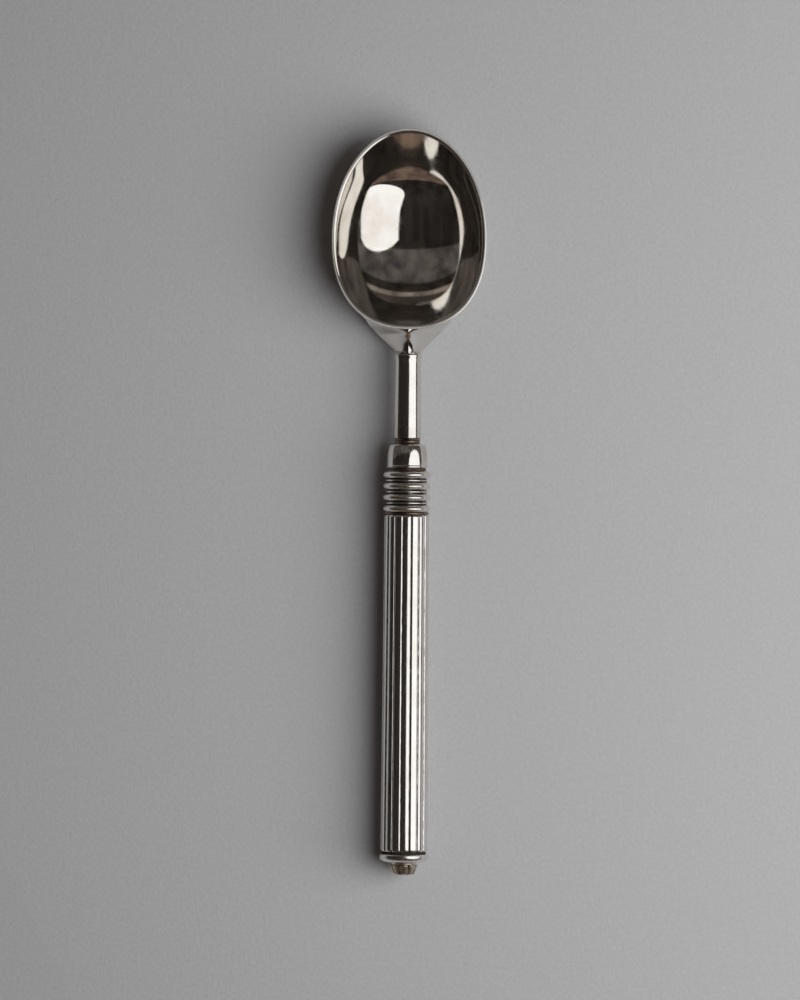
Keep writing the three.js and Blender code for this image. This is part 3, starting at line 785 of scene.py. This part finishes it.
def add_cap():
    start, end, radius = closed_span("end_cap")
    land_end = start + CAP_EDGE + CAP_LAND
    reach, rise = radius - CAP_FACE_RADIUS, end - land_end
    arc = round_points(land_end, CAP_FACE_RADIUS, reach, rise, 0, 90, CAP_STEPS, CAP_FACE_POWER)
    corners = [(start, NUT_HOLE, 0), (start, radius - CAP_EDGE, 0.12), (start + CAP_EDGE, radius, 0.2)]
    corners += arc + [(end, NUT_HOLE, 0.1)]
    add_turned("end_cap", corners, cap_plate, radius - CAP_CLEAN, CAP_TARNISH_DEPTH)


def add_collar():
    start, end, radius = closed_span("finial_collar")
    half = (end - start) / 2
    arc = round_points(start + half, radius - half, half, half, -90, 90, COLLAR_STEPS)
    corners = [(start, NUT_HOLE, 0)] + arc + [(end, NUT_HOLE, 0)]
    add_turned("finial_collar", corners, cap_plate, radius, COLLAR_TARNISH_DEPTH, "collar")


def add_finial():
    """Lobed bud on its round spigot."""
    spigot_start, end, _ = span("finial_nut")
    start = end - BUD_LENGTH - SEAM_CLOSE
    shares = np.linspace(0, 1, BUD_ROWS)
    bud_radius = np.interp(shares, BUD_SHARES, BUD_RADII)
    outline_rows = [(spigot_start, ROD_BORE, 0.0), (spigot_start, NUT_SPIGOT_RADIUS, 0.0)]
    outline_rows += [(start, NUT_SPIGOT_RADIUS, 0.0)]
    outline_rows += [(mix(start, end, s), r, LOBE_DEPTH) for s, r in zip(shares, bud_radius)]
    outline_rows += [(end, bud_radius[-1] * BUD_FACE_SHARE, LOBE_DEPTH / 3), (end, BUD_CENTRE, 0.0)]
    count = BUD_LOBES * LOBE_POINTS
    angles = 2 * math.pi * np.arange(count) / count
    groove = 1 - np.abs(np.cos(angles * BUD_LOBES / 2))
    spokes = np.outer(np.cos(angles), ACROSS) + np.outer(np.sin(angles), UPWARD)
    rows, recess = [], []
    for along, radius, depth in outline_rows:
        rows.append(AXIS_POINT + along * OUTWARD + (radius - depth * groove)[:, None] * spokes)
        recess.append(groove * depth / LOBE_DEPTH * BUD_TARNISH)
    faces = grid_faces(len(rows), count, False)
    add_piece("finial_nut", np.concatenate(rows), faces, np.concatenate(recess), worn_brass, "finial", False)


def add_floor():
    """Plain pale floor, just under the scoop."""
    half = FLOOR_SIZE / 2
    corners = [(x, y, -FLOOR_DROP) for x, y in ((-half, -half), (half, -half), (half, half), (-half, half))]
    mesh = bpy.data.meshes.new("floor")
    mesh.from_pydata(corners, [], [(0, 1, 2, 3)])
    floor = bpy.data.objects.new("floor", mesh)
    bpy.context.scene.collection.objects.link(floor)
    material, tree, shader = new_material("floor_paper")
    grain = noise(tree, FLOOR_GRAIN, 5)
    tree.links.new(blend(tree, grain, *FLOOR_TONES), shader.inputs["Base Color"])
    shader.inputs["Roughness"].default_value = FLOOR_ROUGHNESS
    tree.links.new(bump(tree, grain, FLOOR_RELIEF), shader.inputs["Normal"])
    mesh.materials.append(material)


def add_room():
    """Dim room with plain tones one behind the other along Y, slightly cluttered."""
    world = bpy.data.worlds.new("room")
    bpy.context.scene.world = world
    world.use_nodes = True
    tree = world.node_tree
    direction = wire(tree, "ShaderNodeTexCoord").outputs["Generated"]
    along = wire(tree, "ShaderNodeSeparateXYZ", {0: direction}).outputs["Y"]
    against = wire(tree, "ShaderNodeVectorMath", {0: direction, 1: LEAN_AGAINST}, operation="MULTIPLY")
    height = wire(tree, "ShaderNodeVectorMath", {0: against.outputs[0]}, operation="LENGTH")
    sides = {0: along, 1: height.outputs["Value"]}
    lean = wire(tree, "ShaderNodeMath", sides, operation="ARCTAN2").outputs[0]
    spread = {"Value": lean, "From Min": -math.pi / 2, "From Max": math.pi / 2}
    tones = wire(tree, "ShaderNodeValToRGB", {0: wire(tree, "ShaderNodeMapRange", spread).outputs[0]})
    stops = tones.color_ramp.elements
    while len(stops) < len(ROOM_TONES):
        stops.new(1.0)
    for stop, (degrees, tone) in zip(stops, ROOM_TONES):
        stop.position = (degrees + 90) / 180
        stop.color = tone
    clutter = {"Vector": direction, "Scale": CLUTTER_SCALE, "Detail": 5}
    cluttered = wire(tree, "ShaderNodeTexNoise", clutter).outputs[0]
    background = tree.nodes["Background"]
    tree.links.new(tones.outputs[0], background.inputs["Color"])
    tree.links.new(remap(tree, cluttered, 0.3, 0.7, *CLUTTER_STRENGTH), background.inputs["Strength"])


def add_softbox(name, power, in_mirrors):
    """A large oval lamp to the right of the scoop, unseen by the camera, and seen in mirrors or not."""
    lamp = bpy.data.lights.new(name, "AREA")
    lamp.shape = "ELLIPSE"
    lamp.size, lamp.size_y = SOFTBOX_SIZE
    lamp.energy = power
    softbox = bpy.data.objects.new(name, lamp)
    bpy.context.scene.collection.objects.link(softbox)
    towards = mathutils.Vector(SOFTBOX_TOWARDS).normalized()
    across = mathutils.Vector((0, 1, 0)).cross(towards).normalized()
    softbox.location = mathutils.Vector((0, BOWL_Y * MM, 0)) + towards * SOFTBOX_DISTANCE
    axes = (across, towards.cross(across), towards)
    softbox.rotation_euler = mathutils.Matrix(axes).transposed().to_euler()
    softbox.visible_camera = False
    softbox.visible_glossy = in_mirrors


def add_camera():
    lens = bpy.data.cameras.new("overhead")
    lens.lens = CAMERA_LENS
    lens.sensor_fit = "VERTICAL"
    lens.sensor_height = CAMERA_SENSOR
    camera = bpy.data.objects.new("overhead", lens)
    camera.location = CAMERA_PLACE
    camera.rotation_euler = (0, 0, CAMERA_TURN)
    bpy.context.scene.collection.objects.link(camera)
    bpy.context.scene.camera = camera


add_bowl()
add_shaft()
add_waisted_ring("neck_ring", NECK_RING_WAIST, ROD_BORE)
add_ferrule()
add_waisted_ring("cove_ring", COVE_WAIST, RING_BORE)
for number in (1, 2, 3, 4):
    add_bead(f"bead_ring_{number}")
for number in (1, 2, 3):
    add_spacer(f"spacer_ring_{number}")
add_upper_plug()
add_tube()
add_gasket()
add_cap()
add_collar()
add_finial()
# The pieces inside stay as they are in the CAD
for name in ("tie_rod", "ring_sleeve", "lower_plug"):
    frame["nodes"][name].data.materials.clear()
    frame["nodes"][name].data.materials.append(rod_steel)
add_floor()
add_softbox("softbox_face", SOFTBOX_FACE_POWER, True)
add_softbox("softbox_wash", SOFTBOX_WASH_POWER, False)
add_room()
add_camera()
bpy.context.scene.view_settings.view_transform = "Standard"
